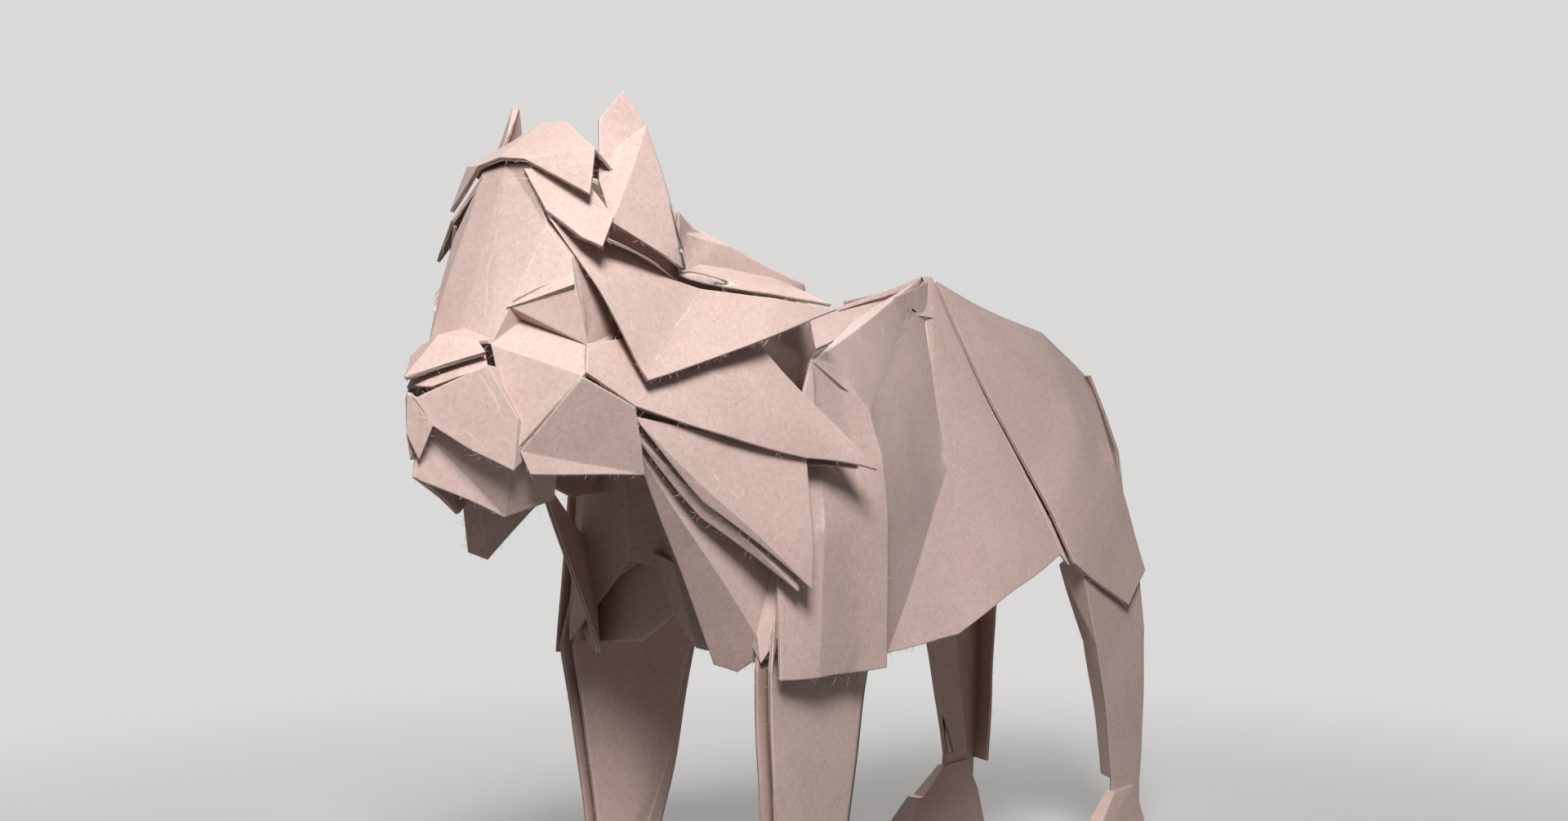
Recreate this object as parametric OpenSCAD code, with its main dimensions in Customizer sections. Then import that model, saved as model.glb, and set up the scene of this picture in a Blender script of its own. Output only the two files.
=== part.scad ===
// Standing lion folded from one square of kraft paper, head level, mane flaps fanned back.
// The lion looks along -Y, its left side is +X, and its soles are at Z = 0.
// Every panel is a folded layer of paper, given by its corners and laid out as on a crease pattern.

/* [Paper] */
// Thickness of a folded panel, two layers pressed together
paper_t = 0.5; // [0.4:0.05:0.8]
// Thickness of a loose flap, one layer
flap_t = 0.4; // [0.3:0.05:0.6]

/* [Body] */
// Width across the flanks at the hem
body_w = 35; // [31:0.5:39]
// Height of the highest point of the back
back_h = 94; // [88:0.5:100]
// Height of the lower hem of the flank behind the forelegs
hem_h = 42; // [38:0.5:46]
// Height of the hem where the flank meets the hip
hem_rear_h = 51.5; // [48:0.5:55]
// Height of the tail root
rump_h = 79.5; // [75:0.5:84]
// Height of the top of the shoulder fold
shoulder_h = 80; // [76:0.5:84]

/* [Legs] */
// Distance from the middle of the forelegs to the middle of the hind legs
stance = 80; // [74:0.5:88]
// Width of a foreleg at the hem, seen from the side
foreleg_top_w = 24.5; // [20:0.5:28]
// Width of a foreleg at the ankle
foreleg_low_w = 12; // [9:0.5:15]
// Gap between the outer and the inner panel of a foreleg
foreleg_gap = 1.4; // [1:0.1:2.5]
// Width of a hind leg below the knee
hind_top_w = 16; // [13:0.5:19]
// Width of a hind leg at the ankle
hind_low_w = 9; // [7:0.5:12]
// Height of the ankles
ankle_h = 12; // [9:0.5:15]
// Length of a paw from heel to toe
paw_l = 22; // [18:0.5:26]
// Width of a paw at the toes
paw_w = 8; // [6:0.5:10]

/* [Head] */
// How far the brow stands in front of the middle of the forelegs
head_out = 38; // [34:0.5:42]
// Height of the brow, where the bridge of the nose starts
brow_h = 102; // [97:0.5:107]
// Drop from the brow to the tip of the nose
face_l = 25; // [22:0.5:28]
// How far the nose stands in front of the brow
muzzle_l = 16; // [13:0.5:19]
// Width of the bridge of the nose at its widest
bridge_w = 16; // [13:0.5:18]
// Width over the two cheeks
cheek_w = 28; // [25:0.5:31]
// Length of an ear above the brow fold
ear_l = 15; // [11:0.5:18]
// Distance between the two ear tips
ear_gap = 19; // [16:0.5:23]

/* [Mane] */
// Length of the top mane flap
mane_top_l = 31; // [26:0.5:35]
// Length of the middle mane flap
mane_mid_l = 36; // [31:0.5:40]
// Length of the low mane flap
mane_low_l = 24; // [20:0.5:28]
// Width over the tips of the middle mane flaps
mane_w = 46; // [42:0.5:50]

/* [Tail] */
// Length of the hanging tail
tail_l = 52; // [44:1:60]
// Width of the tail strip
tail_w = 4.4; // [3.5:0.1:6]
// How far the tail swings out behind its root
tail_out = 3; // [2:0.1:5]

/* [Hidden] */

kraft = [0.80, 0.68, 0.61];
half = body_w / 2;
fore_y = -stance / 2;
hind_y = stance / 2;
head_y = fore_y - head_out;
nose_y = head_y - muzzle_l;
nose_h = brow_h - face_l;
cheek = cheek_w / 2;
bridge = bridge_w / 2;
ear_x = ear_gap / 2;
mane_x = mane_w / 2;

// Sheet of paper through a list of panels

function flat(lists) = [for (one = lists) for (item = one) item];
function fan(panel) = [for (i = [1 : len(panel) - 2]) [panel[0], panel[i], panel[i + 1]]];
function first_ones(points) = [
  for (i = [0 : len(points) - 1])
    if (len([for (j = [0 : 1 : i - 1]) if (points[j] == points[i]) 1]) == 0) points[i]
];
function where(points, p) = [for (i = [0 : len(points) - 1]) if (points[i] == p) i][0];
function unit(v) = v / norm(v);
function face_normal(points, f) =
  unit(cross(points[f[1]] - points[f[0]], points[f[2]] - points[f[0]]));
function has_edge(edges, a, b) = len([for (e = edges) if (e[0] == a && e[1] == b) 1]) > 0;
function mid(a, b, share = 0.5) = a + (b - a) * share;
function total(list, i = 0) = i >= len(list) ? [0, 0, 0] : list[i] + total(list, i + 1);
// Half thickness at a corner, long enough that panels keep their thickness over a fold
function corner_offset(normals) =
  let (middle = unit(total(normals)))
  let (slope = [for (n = normals) middle * n])
  middle / max(0.5, (slope * [for (n = normals) 1]) / len(normals));
// The same panel on the other side of the lion
function other(p) = [-p[0], p[1], p[2]];
function other_side(panels) = [
  for (panel = panels) [for (i = [len(panel) - 1 : -1 : 0]) other(panel[i])]
];

// Panels run counter-clockwise seen from outside, and share corners where they fold into each other
module sheet(panels, t) {
  points = first_ones(flat(panels));
  faces = flat([for (panel = panels) fan([for (p = panel) where(points, p)])]);
  edges = flat([for (f = faces) [[f[0], f[1]], [f[1], f[2]], [f[2], f[0]]]]);
  normals = [for (f = faces) face_normal(points, f)];
  shift = [
    for (i = [0 : len(points) - 1])
      corner_offset([
        for (k = [0 : len(faces) - 1])
          if (faces[k][0] == i || faces[k][1] == i || faces[k][2] == i) normals[k]
      ]) * t / 2
  ];
  n = len(points);
  over = [for (i = [0 : n - 1]) points[i] + shift[i]];
  under = [for (i = [0 : n - 1]) points[i] - shift[i]];
  rim = [for (e = edges) if (!has_edge(edges, e[1], e[0])) e];
  polyhedron(
    points = concat(over, under),
    faces = concat(
      [for (f = faces) [f[2], f[1], f[0]]],
      [for (f = faces) [f[0] + n, f[1] + n, f[2] + n]],
      [for (e = rim) [e[0], e[1], e[1] + n]],
      [for (e = rim) [e[0], e[1] + n, e[0] + n]]
    )
  );
}

// One sheet folded over the middle plane of the lion
module over_back(panels, t) {
  sheet(concat(panels, other_side(panels)), t);
}

// The same loose sheet on both sides
module both_sides(panels, t) {
  sheet(panels, t);
  sheet(other_side(panels), t);
}

// Corners of the body, left side

peak = [0, 6, back_h];
peak_rear = [0, 8, back_h];
nape = [0, fore_y - 28, brow_h + 1];
neck_ridge_1 = [0, fore_y - 15, brow_h - 5];
neck_ridge_2 = [0, fore_y - 2, back_h - 1.5];
neck_ridge_3 = [0, fore_y + 11, back_h - 4];
withers = [0, fore_y + 25, back_h - 5.5];
ridge_front = [0, 0, back_h - 3];
peak_under = [0, 7.2, back_h - 0.25];
shoulder_mid = [6, fore_y + 21, mid(peak, [0, 0, shoulder_h], 0.5)[2]];
shoulder_top = [half + 0.5, fore_y - 3.5, shoulder_h];
shoulder_low = [half - 0.5, fore_y + 9.5, shoulder_h - 6.5];
hem_front = [half, fore_y + 13, hem_h];
hem_mid = [half, -10, hem_h];
hem_lift = [half, -1, hem_h + 3];
hem_rear = [half - 1.5, 20, hem_rear_h];
fold_mid = mid(peak, hem_mid, 0.55) + [0.8, 0, 0];

module flank() {
  over_back([
    [peak, shoulder_mid, shoulder_top, shoulder_low],
    [fold_mid, peak, shoulder_low, hem_front, hem_mid],
    [fold_mid, hem_mid, hem_lift, hem_rear, peak_rear, peak]
  ], paper_t);
}

// Corners of the hip

hip_top = [0, 9.5, back_h - 0.4];
croup = [0, hind_y - 19, back_h - 3];
croup_rear = [0, hind_y + 1, back_h - 7];
tail_root = [0, hind_y + 17, rump_h];
hip_crease = [9, hind_y - 3.5, rump_h - 6];
thigh_front = [half - 0.5, hind_y - 17, hem_rear_h - 1.5];
thigh_mid = [half - 3.2, hind_y - 7, hem_rear_h + 7];
thigh_fold = [half, hind_y, hem_rear_h - 9.5];
thigh_rear = [half - 1.5, hind_y + 8.7, hem_rear_h - 4.5];
haunch = [half - 5.5, hind_y + 5, hem_rear_h + 14];

module hip() {
  over_back([
    [hip_top, thigh_front, thigh_mid, hip_crease, croup],
    [croup, hip_crease, croup_rear],
    [croup_rear, hip_crease, haunch, tail_root],
    [hip_crease, thigh_mid, haunch],
    [thigh_mid, thigh_front, thigh_fold, thigh_rear, haunch]
  ], paper_t);
}

// Narrow pleat between flank and hip, and the valley under it that joins the two

pleat_top = [0, 9, back_h - 1.2];
pleat_front = mid(hem_rear, thigh_front, 0.3) + [-1.6, 0, 1.5];
pleat_rear = mid(hem_rear, thigh_front, 0.95) + [-0.7, 0, -0.5];
valley_top_front = [0, 7, back_h - 0.1];
valley_top = [0, 9.4, back_h - 2.6];
valley_top_rear = mid(hip_top, croup, 0.5) + [0, 0, -0.15];
valley_low_front = mid(mid(hem_rear, fold_mid, 0.15), peak_rear, 0.04);
valley_low = mid(hem_rear, thigh_front, 0.5) + [-3.6, 0, 2.5];
valley_low_rear = mid(mid(thigh_front, thigh_mid, 0.3), hip_top, 0.05);

module pleat() {
  over_back([[pleat_top, pleat_front, pleat_rear, hip_top + [0, 0.9, -1.8]]], flap_t);
  over_back([
    [valley_top_front, valley_low_front, valley_low, valley_top],
    [valley_top, valley_low, valley_low_rear, valley_top_rear]
  ], paper_t);
}

// Shoulder flap over the foreleg

flap_top = [half + 0.3, fore_y - 3.6, shoulder_h + 0.6];
flap_notch = [half - 0.6, fore_y + 2.5, shoulder_h - 0.4];
flap_edge = [half + 0.6, fore_y + 7.8, shoulder_h - 6];
flap_rear = [half + 1.6, fore_y + 8.5, shoulder_h - 12];
flap_hem_rear = [half + 2, fore_y + 10.7, hem_h - 1.4];
flap_hem_1 = [half + 1.2, fore_y + 4, hem_h - 1.5];
flap_hem_2 = [half + 2.6, fore_y - 5, hem_h - 1.3];
flap_hem_front = [half + 2.2, fore_y - 12.3, hem_h - 1];
flap_front = [half + 0.6, fore_y - 12, hem_h + 20];
flap_mid_1 = [half + 1.4, fore_y + 4, hem_h + 18];
flap_mid_2 = [half + 2.2, fore_y - 5, hem_h + 16];

module shoulder() {
  both_sides([
    [flap_top, flap_front, flap_mid_2],
    [flap_top, flap_mid_2, flap_mid_1, flap_notch],
    [flap_notch, flap_mid_1, flap_edge],
    [flap_edge, flap_mid_1, flap_rear],
    [flap_front, flap_hem_front, flap_hem_2, flap_mid_2],
    [flap_mid_2, flap_hem_2, flap_hem_1, flap_mid_1],
    [flap_mid_1, flap_hem_1, flap_hem_rear, flap_rear]
  ], flap_t);
}

// Foreleg, two panels folded along the rear edge and open along the front edge

foreleg_top = hem_h + 30;
foreleg_front_y = fore_y - 12.8;
foreleg_toe_y = fore_y - 9;

function foreleg_corner(front, z, inner) =
  let (share = (hem_h - z) / (hem_h - ankle_h))
  let (w = foreleg_top_w + (foreleg_low_w - foreleg_top_w) * max(0, share))
  let (y = foreleg_front_y + (foreleg_toe_y - foreleg_front_y) * max(0, share))
  let (x = half - 0.2 + (front ? 1.2 - 1.6 * max(0, share) : -1.6 + 0.8 * max(0, share)))
  [x - (inner ? foreleg_gap * (front ? 1.6 : 0.6) : 0), y + (front ? 0 : w), z];

module foreleg() {
  outer_up = foreleg_corner(true, foreleg_top, false) + [-3, 6, 0];
  outer_up_rear = foreleg_corner(false, foreleg_top, false) + [-0.5, -2, 0];
  outer_front = foreleg_corner(true, hem_h, false);
  outer_rear = foreleg_corner(false, hem_h, false);
  outer_low_front = foreleg_corner(true, ankle_h - 4, false);
  outer_low_rear = foreleg_corner(false, ankle_h - 4, false);
  inner_front = foreleg_corner(true, hem_h, true);
  inner_up = foreleg_corner(true, hem_h + 12, true) + [-1, 3, 0];
  inner_up_rear = foreleg_corner(false, hem_h + 12, false) + [-1.5, -3, 0];
  inner_low_front = foreleg_corner(true, ankle_h - 4, true);
  both_sides([
    [outer_up, outer_front, outer_rear, outer_up_rear],
    [outer_front, outer_low_front, outer_low_rear, outer_rear],
    [inner_front, outer_rear, outer_low_rear, inner_low_front],
    [outer_rear, inner_front, inner_up, inner_up_rear]
  ], paper_t);
}

// Hind leg, folded to an open channel below the thigh

hind_front_y = hind_y - 9;
hind_heel_y = hind_y - 4;

module hind_leg() {
  top_front = [half - 1.4, hind_y - 14, hem_rear_h + 1];
  top_rear = [half - 2.2, hind_y + 7, hem_rear_h - 1];
  knee_front = [half - 0.8, hind_front_y, hem_rear_h - 15];
  knee_rear = [half - 1, hind_front_y + hind_top_w, hem_rear_h - 14];
  low_front = [half - 1.4, hind_heel_y, ankle_h + 2];
  low_rear = [half - 1.4, hind_heel_y + hind_low_w, ankle_h];
  foot_front = low_front + [0.4, 0, -6];
  foot_rear = low_rear + [0.4, 0, -6];
  top_inner = top_front + [-4.5, 2.4, -3];
  knee_inner = knee_front + [-4, 3.2, 0];
  low_inner = low_front + [-3, 2.4, 0];
  rear_inner = knee_rear + [-5, -2, 0];
  low_rear_inner = low_rear + [-4, -1.5, 0];
  top_rear_inner = top_rear + [-5, -2, 0];
  both_sides([
    [top_front, knee_front, knee_rear, top_rear],
    [knee_front, low_front, low_rear, knee_rear],
    [low_front, foot_front, foot_rear, low_rear],
    [top_inner, knee_inner, knee_front, top_front],
    [knee_inner, low_inner, low_front, knee_front],
    [top_rear, knee_rear, rear_inner, top_rear_inner],
    [knee_rear, low_rear, low_rear_inner, rear_inner]
  ], paper_t);
}

// Paw with its toes turned forward, standing flat; x, y is the rear of the heel
module paw(x, y, lean) {
  toe_y = y - paw_l;
  for (side = [-1, 1])
    scale([side, 1, 1]) {
      hull() {
        translate([x, y - 1.5, 0.4]) cube([paw_w * 0.55, 3, 0.8], center = true);
        translate([x + lean, toe_y + 4, 0.4]) cube([paw_w, 4, 0.8], center = true);
        translate([x + lean, toe_y + 1.5, 2.6]) cube([paw_w * 0.55, 3, 1], center = true);
        translate([x + lean * 0.7, toe_y + 6, ankle_h * 0.6]) cube([paw_w * 0.3, 3, 1], center = true);
        translate([x, y - 2, ankle_h * 0.5]) cube([2.4, 3, 1], center = true);
      }
      hull() {
        translate([x + lean * 0.7, toe_y + 7, ankle_h * 0.55]) cube([paw_w * 0.3, 4, 1], center = true);
        translate([x, y - paw_l * 0.3, ankle_h - 0.5]) cube([1.6, paw_l * 0.3, 1], center = true);
        translate([x, y - 2, ankle_h * 0.5]) cube([2.4, 3, 1], center = true);
      }
    }
}

module paws() {
  paw(half - 0.8, foreleg_toe_y + foreleg_low_w, 0.6);
  paw(half - 1.2, hind_heel_y + hind_low_w + 0.5, 1);
}

// Chest pleats between the forelegs

chest_y = fore_y - 12;

module chest() {
  over_back([
    [[0, chest_y - 1, hem_h + 26], [0, chest_y + 1.5, hem_h + 13], [4.5, chest_y + 4, hem_h + 11],
      [4.5, chest_y + 3, hem_h + 26]],
    [[4.5, chest_y + 3, hem_h + 26], [4.5, chest_y + 4, hem_h + 11], [7.5, chest_y + 0.5, hem_h + 12],
      [8, chest_y, hem_h + 26]],
    [[8, chest_y, hem_h + 26], [7.5, chest_y + 0.5, hem_h + 12], [half - 0.6, chest_y - 0.4, hem_h + 0.8],
      [13, chest_y - 1.2, hem_h + 26]],
    [[13, chest_y - 1.2, hem_h + 26], [half - 0.6, chest_y - 0.4, hem_h + 0.8],
      [half + 0.9, chest_y + 0.9, hem_h + 4], [half - 0.2, chest_y + 1.2, hem_h + 25]]
  ], paper_t);
  over_back([
    [[0, chest_y + 1, hem_h + 12], [0, chest_y + 1.4, hem_h + 5.5], [5, chest_y + 0.6, hem_h + 1.5],
      [5.5, chest_y + 3, hem_h + 13]],
    [[5.5, chest_y + 3, hem_h + 13], [5, chest_y + 0.6, hem_h + 1.5], [half - 2, chest_y + 1, hem_h + 0.5],
      [half - 1, chest_y + 2.4, hem_h + 6]]
  ], paper_t);
}

// Head and neck, one sheet folded over the middle plane

brow_mid = [0, head_y - 1, brow_h + 0.5];
bridge_low_mid = [0, nose_y + 7.5, nose_h + 4.5];
brow = [4, head_y - 1, brow_h];
bridge_side = [bridge, head_y - 2, brow_h - 7.5];
bridge_low = [5.2, nose_y + 7.7, nose_h + 4];
temple_top = [10, head_y + 3, brow_h - 4.5];
temple = [10.4, head_y + 4, brow_h - 10];
lid_corner = mid(bridge_side, bridge_low, 0.67);
eye_top = [bridge + 2.4, head_y - 0.8, brow_h - 11];
eye_out = [bridge + 3.4, head_y - 1, brow_h - 14];
cheek_in = [5.6, nose_y + 12, nose_h + 7];
cheek_top = [cheek - 2.5, head_y + 0.8, nose_h + 4];
cheek_out = [cheek, head_y - 2, nose_h + 0.5];
cheek_low = [8, nose_y + 9, nose_h - 7.5];
jowl_rear = [8, head_y + 2, nose_h - 10];
behind_ear = [12, fore_y - 26, brow_h - 6];
neck_side_top = [13, fore_y - 15, back_h];
neck_side_rear = [15, fore_y - 2.6, back_h - 4];
neck_low_rear = [12, fore_y, shoulder_h - 2];
neck_low = [12, fore_y - 9, hem_h + 21];
neck_low_front = [9, fore_y - 20, hem_h + 21];
throat = [9.5, head_y + 8, nose_h - 9];
neck_front = [11, head_y + 6, nose_h + 6];
neck_middle = [11, fore_y - 16, shoulder_h];
inner_1 = [12, fore_y + 4, shoulder_h + 2];
inner_2 = [5, fore_y + 22, back_h - 8.6];
inner_3 = [2.8, 0, back_h - 5.6];
inner_4 = [2.4, 7.6, back_h - 6.4];

module head_and_neck() {
  over_back([
    [brow_mid, bridge_low_mid, bridge_low, lid_corner, bridge_side, brow],
    [bridge_side, lid_corner, eye_out, eye_top],
    [brow, bridge_side, eye_top, temple, temple_top],
    [eye_top, eye_out, cheek_top, temple],
    [lid_corner, cheek_in, cheek_top, eye_out],
    [lid_corner, bridge_low, cheek_in],
    [brow_mid, brow, temple_top, behind_ear, nape],
    [temple_top, temple, neck_front, behind_ear],
    [temple, cheek_top, neck_front],
    [cheek_out, cheek_top, cheek_in, bridge_low, cheek_low],
    [cheek_top, cheek_out, neck_front],
    [neck_front, cheek_out, throat],
    [cheek_out, cheek_low, jowl_rear, throat],
    [nape, behind_ear, neck_side_top, neck_ridge_1],
    [neck_ridge_1, neck_side_top, neck_side_rear, neck_ridge_2],
    [neck_ridge_2, neck_side_rear, inner_1, neck_ridge_3],
    [neck_ridge_3, inner_1, inner_2, withers],
    [withers, inner_2, inner_3, ridge_front],
    [ridge_front, inner_3, inner_4, peak_under],
    [neck_side_rear, neck_low_rear, inner_1],
    [neck_middle, behind_ear, neck_front],
    [neck_middle, neck_front, throat],
    [neck_middle, throat, neck_low_front],
    [neck_middle, neck_low_front, neck_low],
    [neck_middle, neck_low, neck_low_rear],
    [neck_middle, neck_low_rear, neck_side_rear],
    [neck_middle, neck_side_rear, neck_side_top],
    [neck_middle, neck_side_top, behind_ear]
  ], paper_t);
}

// Muzzle, nose flap and lower jaw

nose_tip = [0, nose_y, nose_h + 0.5];
lip_front = [0.8, nose_y + 1, nose_h - 1.6];
lip_1 = [2.2, nose_y + 2.4, nose_h - 4.8];
lip_2 = [5, nose_y + 5.4, nose_h - 7.6];
lip_3 = [8.2, nose_y + 8.6, nose_h - 9.8];
muzzle_rear = [8.6, nose_y + 8.8, nose_h - 4];
muzzle_top = [6.2, nose_y + 6.2, nose_h + 1.6];
muzzle_in_top = [6.2, nose_y + 10, nose_h + 1];
muzzle_in_low = [8, nose_y + 13, nose_h - 6.5];

module muzzle() {
  over_back([
    [[0, nose_y + 0.5, nose_h - 1], [0, nose_y + 0.8, nose_h - 5.6], [0.6, nose_y + 1.8, nose_h - 8.6],
      lip_1, lip_front],
    [lip_front, lip_1, lip_2, lip_3, muzzle_rear, muzzle_top],
    [muzzle_top, muzzle_rear, muzzle_in_low, muzzle_in_top],
    [muzzle_rear, lip_3, muzzle_in_low]
  ], paper_t);
  over_back([
    [[0, nose_y + 9, nose_h + 6], [0, nose_y + 4.5, nose_h + 5], [4.6, nose_y + 6.3, nose_h + 4.2],
      [5.2, nose_y + 9, nose_h + 4.6]],
    [[0, nose_y + 4.5, nose_h + 5], nose_tip, [6.4, nose_y + 6, nose_h + 3], [4.6, nose_y + 6.3, nose_h + 4.2]]
  ], paper_t);
  over_back([
    [[0, nose_y + 2.5, nose_h + 1.5], [0, nose_y + 1.4, nose_h - 0.4], [2.2, nose_y + 2, nose_h - 0.6],
      [6.4, nose_y + 6.4, nose_h + 1.4], [5, nose_y + 7, nose_h + 3]]
  ], flap_t);
}

jaw_top_mid = [0, nose_y + 2.6, nose_h - 5.5];
jaw_lip = [0, nose_y + 1.8, nose_h - 10.6];
jaw_1 = [2.3, nose_y + 7.2, nose_h - 13.4];
jaw_2 = [4, nose_y + 11, nose_h - 15.3];
jaw_rear = [7, nose_y + 16, nose_h - 13];
jaw_back = [9.4, nose_y + 14.5, nose_h - 8];
jaw_fold = [6.9, nose_y + 9.4, nose_h - 8.4];
jaw_top = [1.5, nose_y + 3.6, nose_h - 5];

module jaw() {
  over_back([
    [jaw_top_mid, jaw_lip, jaw_1, jaw_2, jaw_fold, jaw_top],
    [jaw_fold, jaw_2, jaw_rear, jaw_back]
  ], paper_t);
}

// Cheek flap, eyelid, brow strip and brow tuft

module face_flaps() {
  both_sides([
    [[8.4, nose_y + 9.4, nose_h - 7.6], [9, nose_y + 10.4, nose_h - 10.2], [15, head_y + 7, nose_h - 10.2],
      [16.4, head_y + 4, nose_h - 2.6], [14.2, head_y - 2.2, nose_h + 0.4]]
  ], paper_t);
  both_sides([
    [lid_corner + [-0.1, -0.5, -0.2], eye_out + [0.4, -0.5, -0.2], eye_out + [-0.3, 0.1, 1.2],
      lid_corner + [0.7, 0.4, 1.2]]
  ], flap_t);
  both_sides([
    [[3.6, head_y - 1.6, brow_h - 0.4], [8.2, head_y - 2.4, brow_h - 5.6], [12.2, head_y - 0.6, brow_h - 9],
      [14.2, head_y + 0.6, brow_h - 10], [13.4, head_y + 3, brow_h - 6.5], [9, head_y + 2, brow_h - 1]]
  ], flap_t);
  over_back([
    [[0, head_y - 2, brow_h + 1.2], [4, head_y - 1.8, brow_h + 0.6], [11, head_y + 2.6, brow_h + 1.4],
      [3, head_y + 5.6, brow_h + 5.8], [0, head_y + 5, brow_h + 6]],
    [[4, head_y - 1.8, brow_h + 0.6], [12, head_y + 0.8, brow_h - 4], [11, head_y + 2.6, brow_h + 1.4]],
    [[10, head_y + 8, brow_h - 2], [0, head_y + 9, brow_h + 1], [0, head_y + 5, brow_h + 6],
      [3, head_y + 5.6, brow_h + 5.8], [11, head_y + 2.6, brow_h + 1.4]]
  ], paper_t);
}

// Ear, folded to an open hollow

ear_base = [12.6, head_y + 3.4, brow_h - 7];
ear_tip = [ear_x, head_y + 9, brow_h - 5 + ear_l];
ear_valley = [ear_x, head_y + 7.6, brow_h - 8 + ear_l * 0.7];
ear_front_up = [ear_x - 1.5, head_y + 6.4, brow_h - 9 + ear_l];
ear_front_low = [10, head_y + 4, brow_h - 2];
ear_rim = [ear_x + 1.6, head_y + 11, brow_h - 9.5 + ear_l];
ear_back = [13.2, head_y + 12, brow_h - 3.5];
ear_back_low = [15, head_y + 13, brow_h - 11];

module ear() {
  both_sides([
    [ear_valley, ear_tip, ear_front_up, ear_front_low, ear_base],
    [ear_valley, ear_base, ear_rim, ear_tip],
    [ear_rim, ear_base, ear_back_low, ear_back]
  ], flap_t);
}

// Mane flaps, fanned back over the shoulder

top_in = [bridge + 0.1, head_y - 2.1, brow_h - 6];
top_brow = [13.5, head_y + 2, brow_h - 9];
top_fold = [14.2, head_y + 13.6, brow_h - 12];
top_point = [18.4, head_y + 5, nose_h + 1];
top_tip = [mane_x - 2, head_y + 4.5 + mane_top_l, back_h - 7.5];
mid_root = [16.3, head_y + 4, nose_h - 2.6];
layer_root = [9.4, head_y + 6.5, nose_h - 1];
mid_in = [cheek - 1.6, head_y, nose_h + 4.2];
mid_in_low = [cheek + 0.3, head_y - 1.8, nose_h + 0.8];
mid_under = [18, head_y + 14, nose_h + 4];
mid_low = [19.2, head_y + 16, nose_h - 5.6];
mid_low_2 = [mane_x - 2, mid_root[1] + mane_mid_l - 11.5, nose_h - 9];
mid_tip = [mane_x, mid_root[1] + mane_mid_l, nose_h - 11];
mid_crease = [mane_x - 3.1, mid_root[1] + mane_mid_l - 15, nose_h - 3.2];
mid_top = [mane_x - 5.6, mid_root[1] + mane_mid_l - 17, nose_h + 6.6];
mid_start = [15, head_y + 14, nose_h + 6.6];
low_root = [15.6, head_y + 4.4, nose_h - 3.6];
low_edge = [17.6, head_y + 14, nose_h - 13.6];
low_tip = [mane_x - 1, low_root[1] + mane_low_l, nose_h - 25];
low_top = [mane_x - 2.6, low_root[1] + mane_low_l + 0.9, nose_h - 7.4];
chest_root = [14, head_y + 6, nose_h - 6];
chest_in = [10.8, head_y + 11.5, nose_h - 10];
chest_low = [10.6, chest_y - 2, hem_h + 0.4];
chest_tip = [12.6, chest_y, hem_h - 0.6];
chest_out = [half - 1.2, chest_y + 1, hem_h + 2];
chest_top = [half, chest_y + 2, hem_h + 12];

module mane() {
  both_sides([
    [top_in, top_point, top_fold, top_brow],
    [top_fold, top_point, top_tip]
  ], flap_t);
  both_sides([
    [mid(neck_side_top, neck_ridge_2, 0.25) + [0, 0, -0.3], [12.8, head_y + 14, brow_h - 4.6],
      top_fold + [-0.7, 0.6, 0.6], top_tip + [-0.5, -0.6, 0.6],
      mid(neck_side_rear, neck_ridge_1, 0.22) + [0, 0, -0.2]]
  ], flap_t);
  both_sides([
    [mid_in, mid_in_low, mid_root, mid_start],
    [mid_start, mid_root, mid_low, mid_crease],
    [mid_crease, mid_low, mid_low_2, mid_tip],
    [mid_start, mid_crease, mid_top],
    [mid_top, mid_crease, mid_tip]
  ], flap_t);
  both_sides([
    [layer_root, mid_low + [-1.1, 0.4, -1], mid_low_2 + [-1.1, 0, -0.9], mid_tip + [-1, -2.5, 0.2],
      mid_start + [-0.9, 4, -1]]
  ], flap_t);
  sheet([[low_root, low_edge, low_tip, low_top]], flap_t);
  sheet([
    [low_root + [-1, 0.4, -1.4], low_edge + [-1, 0.6, -1.8], low_tip + [-1.1, -1.2, -0.2],
      low_top + [-1.4, -1, 1]]
  ], flap_t);
  sheet([[chest_root, chest_in, chest_low, chest_tip, chest_out, chest_top]], paper_t);
  sheet(other_side([
    [chest_root + [-2, 6, -3], chest_in + [-1, 1, 0], chest_low, chest_tip, chest_out,
      chest_top + [-2, 0, 0]]
  ]), paper_t);
}

// Mane flap of the right side that hangs forward under the chin

module beard() {
  sheet([
    [[-15.8, head_y + 4, nose_h - 3], [-11, head_y + 16, nose_h - 13], [-15.2, head_y + 9.5, nose_h - 22],
      [-16.6, head_y + 7.5, nose_h - 21]]
  ], flap_t);
}

// Tail, a narrow strip with a long crease, hanging from the rump

module tail() {
  a = tail_root + [0, -2, 0.5];
  b = tail_root + [3, tail_out, -tail_l * 0.25];
  c = tail_root + [6, tail_out - 0.5, -tail_l * 0.62];
  d = tail_root + [6, 0.5, -tail_l];
  w = [tail_w / 2, -1.2, 0];
  v = [-tail_w / 2, -1.2, 0];
  sheet([
    [a, a + v, b + v, b],
    [b, b + v, c + v, c],
    [c, c + v, d],
    [a + w, a, b, b + w],
    [b + w, b, c, c + w],
    [c + w, c, d]
  ], paper_t);
}

module lion() {
  color(kraft)
    translate([0, -(nose_y + tail_root[1] + tail_out) / 2, 0]) {
      flank();
      hip();
      pleat();
      shoulder();
      foreleg();
      hind_leg();
      paws();
      chest();
      head_and_neck();
      muzzle();
      jaw();
      face_flaps();
      ear();
      mane();
      beard();
      tail();
    }
}

lion();
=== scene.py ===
"""Looks of the origami lion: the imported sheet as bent, creased kraft paper with fuzzy raw edges."""
import math
from dataclasses import dataclass

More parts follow.
